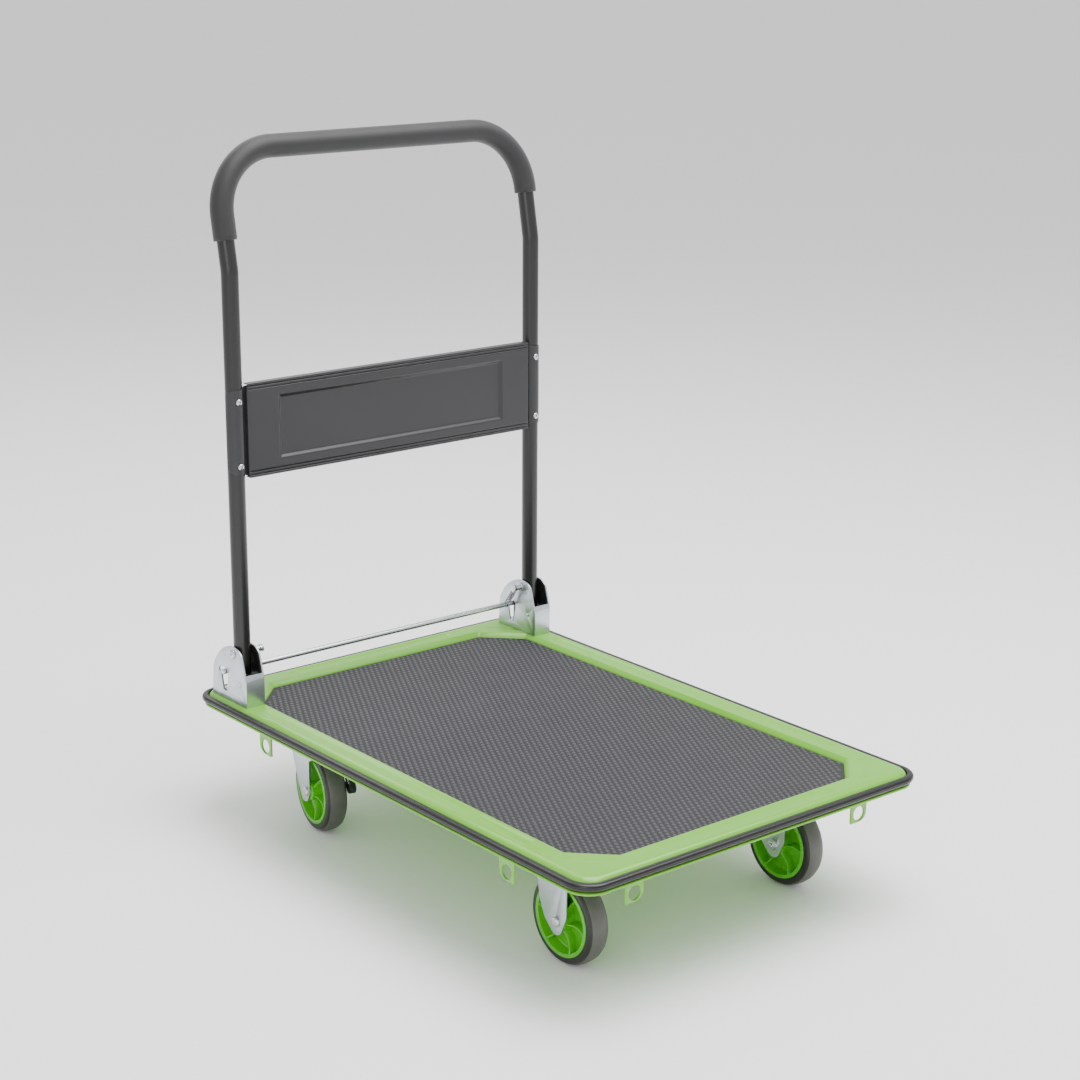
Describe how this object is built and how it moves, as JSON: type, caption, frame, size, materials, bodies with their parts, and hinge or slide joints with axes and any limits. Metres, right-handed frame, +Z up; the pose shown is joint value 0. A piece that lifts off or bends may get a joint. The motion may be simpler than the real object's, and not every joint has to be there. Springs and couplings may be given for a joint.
{
  "type": "folding platform trolley",
  "caption": "Folding platform trolley: pressed-steel deck with mat and bumper, fold-down push handle with lock bar, rigid front casters and braked swivel rear casters.",
  "frame": {"origin": "on the floor under the centre of the deck", "axes": "+X forward away from the handle, +Y left, +Z up"},
  "size_m": [0.91, 0.61, 1.01],
  "materials": {
    "green_paint": "glossy powder coat, apple green",
    "mat": "matt ribbed vinyl, dark grey",
    "bumper_rubber": "satin black",
    "zinc": "bright zinc plating",
    "spring_steel": "polished",
    "black_nylon": "matt black",
    "handle_paint": "satin charcoal powder coat",
    "panel_paint": "satin charcoal powder coat",
    "grip_foam": "matt dark grey sleeve",
    "hub_plastic": "glossy green",
    "tyre_rubber": "matt grey-black"
  },
  "bodies": {
    "deck_frame": {"deck": "green_paint", "deck_mat": "mat", "edge_bumper": "bumper_rubber", "front_crossmember": "green_paint", "rear_crossmember": "green_paint", "lashing_eyes": "green_paint", "caster_bolts": "zinc", "caster_nuts": "zinc", "handle_bracket_right": "zinc", "handle_bracket_left": "zinc", "bracket_liners": "black_nylon", "bracket_bolts": "zinc", "bracket_nuts": "zinc", "pivot_bolts": "zinc", "pivot_nuts": "zinc", "stop_pins": "zinc", "lock_spring_right": "spring_steel", "lock_spring_left": "spring_steel", "front_fork_right": "zinc", "front_fork_left": "zinc", "front_axle_bolts": "zinc", "front_axle_nuts": "zinc", "front_axle_sleeves": "zinc", "caster_plate_right": "zinc", "caster_plate_left": "zinc", "kingpins": "zinc", "swivel_balls_right": "spring_steel", "swivel_balls_left": "spring_steel"},
    "lock_bar_body": {"lock_bar": "zinc"},
    "handle": {"handle_tube": "handle_paint", "handle_grip": "grip_foam", "handle_panel": "panel_paint", "panel_screws": "zinc", "pivot_bushes": "black_nylon", "foot_plugs": "black_nylon"},
    "front_wheel_right": {"front_hub_right": "hub_plastic", "front_tyre_right": "tyre_rubber"},
    "swivel_right": {"swivel_fork_right": "zinc", "rear_axle_bolt_right": "zinc", "rear_axle_nut_right": "zinc", "rear_axle_sleeve_right": "zinc", "brake_pin_right": "zinc"},
    "rear_wheel_right": {"rear_hub_right": "hub_plastic", "rear_tyre_right": "tyre_rubber"},
    "brake_right": {"brake_lever_right": "zinc", "brake_pedal_right": "black_nylon"},
    "front_wheel_left": {"front_hub_left": "hub_plastic", "front_tyre_left": "tyre_rubber"},
    "swivel_left": {"swivel_fork_left": "zinc", "rear_axle_bolt_left": "zinc", "rear_axle_nut_left": "zinc", "rear_axle_sleeve_left": "zinc", "brake_pin_left": "zinc"},
    "rear_wheel_left": {"rear_hub_left": "hub_plastic", "rear_tyre_left": "tyre_rubber"},
    "brake_left": {"brake_lever_left": "zinc", "brake_pedal_left": "black_nylon"}
  },
  "joints": [
    {"name": "handle_fold", "type": "hinge", "parent": "deck_frame", "child": "handle", "pos_m": [-0.364, 0, 0.264], "axis": [0, 1, 0], "range_deg": [0, 95]},
    {"name": "lock_bar_press", "type": "slide", "parent": "deck_frame", "child": "lock_bar_body", "axis": [0, 0, -1], "range_m": [0, 0.02], "stiffness_N_per_m": 600, "springref_m": -0.02, "deforming": ["lock_spring_right", "lock_spring_left"]},
    {"name": "front_wheel_right_spin", "type": "hinge", "parent": "deck_frame", "child": "front_wheel_right", "pos_m": [0.3, -0.197, 0.0625], "axis": [0, 1, 0], "continuous": true},
    {"name": "swivel_right_turn", "type": "hinge", "parent": "deck_frame", "child": "swivel_right", "pos_m": [-0.303, -0.197, 0.14], "axis": [0, 0, 1], "continuous": true},
    {"name": "rear_wheel_right_spin", "type": "hinge", "parent": "swivel_right", "child": "rear_wheel_right", "pos_m": [-0.2665, -0.20304, 0.0625], "axis": [0.1633, 0.9866, 0], "continuous": true},
    {"name": "brake_right_press", "type": "hinge", "parent": "swivel_right", "child": "brake_right", "pos_m": [-0.24578, -0.20647, 0.1265], "axis": [0.1633, 0.9866, 0], "range_deg": [0, 8]},
    {"name": "front_wheel_left_spin", "type": "hinge", "parent": "deck_frame", "child": "front_wheel_left", "pos_m": [0.3, 0.197, 0.0625], "axis": [0, 1, 0], "continuous": true},
    {"name": "swivel_left_turn", "type": "hinge", "parent": "deck_frame", "child": "swivel_left", "pos_m": [-0.303, 0.197, 0.14], "axis": [0, 0, 1], "continuous": true},
    {"name": "rear_wheel_left_spin", "type": "hinge", "parent": "swivel_left", "child": "rear_wheel_left", "pos_m": [-0.2665, 0.19096, 0.0625], "axis": [0.1633, 0.9866, 0], "continuous": true},
    {"name": "brake_left_press", "type": "hinge", "parent": "swivel_left", "child": "brake_left", "pos_m": [-0.24578, 0.18753, 0.1265], "axis": [0.1633, 0.9866, 0], "range_deg": [0, 8]}
  ]
}
